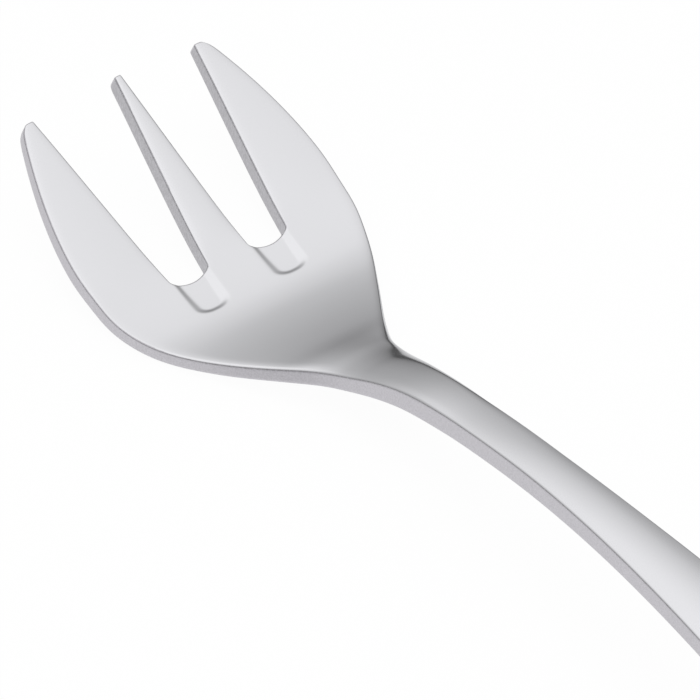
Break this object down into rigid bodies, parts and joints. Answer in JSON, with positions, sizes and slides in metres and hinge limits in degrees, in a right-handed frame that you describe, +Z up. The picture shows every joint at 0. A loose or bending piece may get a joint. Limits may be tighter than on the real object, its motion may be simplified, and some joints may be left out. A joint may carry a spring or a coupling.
{
  "type": "cocktail fork",
  "caption": "Small cocktail and seafood fork pressed from a single blank, with recesses coined behind its slots, a narrow neck and an arched, crowned handle.",
  "frame": {"origin": "centre of the bounding box's base, on the surface the fork lies on", "axes": "+Z up out of the fork's front, +Y along the fork from the handle's end to the tips of the tines, +X to the right seen from the handle"},
  "size_m": [0.0224, 0.1436, 0.0118],
  "materials": {
    "stainless_steel": "satin polished"
  },
  "bodies": {
    "root": {"fork": "stainless_steel"}
  },
  "joints": []
}
